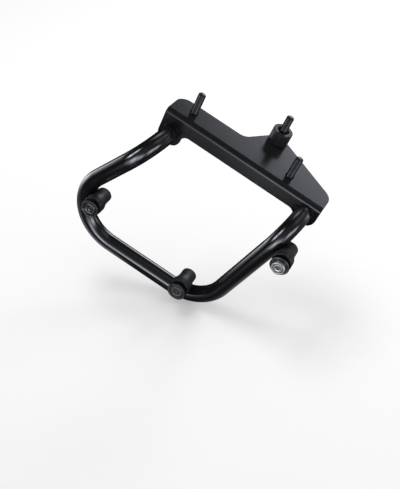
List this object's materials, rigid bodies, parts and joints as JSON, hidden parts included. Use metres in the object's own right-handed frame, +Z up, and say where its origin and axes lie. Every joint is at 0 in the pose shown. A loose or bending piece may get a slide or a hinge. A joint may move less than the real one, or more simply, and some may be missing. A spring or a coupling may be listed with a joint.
{
  "type": "pannier frame",
  "caption": "Bent tube loop welded to a folded bolt-on bracket, with headed pegs that hold a side bag on a motorbike.",
  "frame": {"origin": "on the bracket's seating face, halfway between the two front screws", "axes": "+Z up on the motorbike, out of the seating face; +X along the bracket; -Y outwards, to the bag"},
  "size_m": [0.2304, 0.1339, 0.2042],
  "materials": {
    "powder_coat": "black satin powder coat on steel",
    "black_turned": "turned steel, black satin coat",
    "black_oxide": "black oxide on machined steel",
    "bright_steel": "turned bright steel"
  },
  "bodies": {
    "root": {"bracket_plate": "powder_coat", "loop_tube": "powder_coat", "peg_left_bush": "powder_coat", "peg_low_bush": "powder_coat", "peg_right_bush": "powder_coat", "weld_peg_left": "powder_coat", "weld_peg_low": "powder_coat", "weld_peg_right": "powder_coat", "weld_tube_left": "powder_coat", "weld_tube_right": "powder_coat", "peg_left_collar": "black_turned", "peg_left_head": "black_turned", "peg_low_collar": "black_turned", "peg_low_head": "black_turned", "peg_right_collar": "black_turned", "peg_right_head": "black_turned", "spacer_rear": "black_turned", "peg_left_cap": "black_oxide", "peg_low_cap": "black_oxide", "screw_left": "black_oxide", "screw_rear": "black_oxide", "screw_right": "black_oxide", "washer_left": "black_oxide", "washer_rear": "black_oxide", "washer_right": "black_oxide", "peg_right_cap": "bright_steel"}
  },
  "joints": []
}
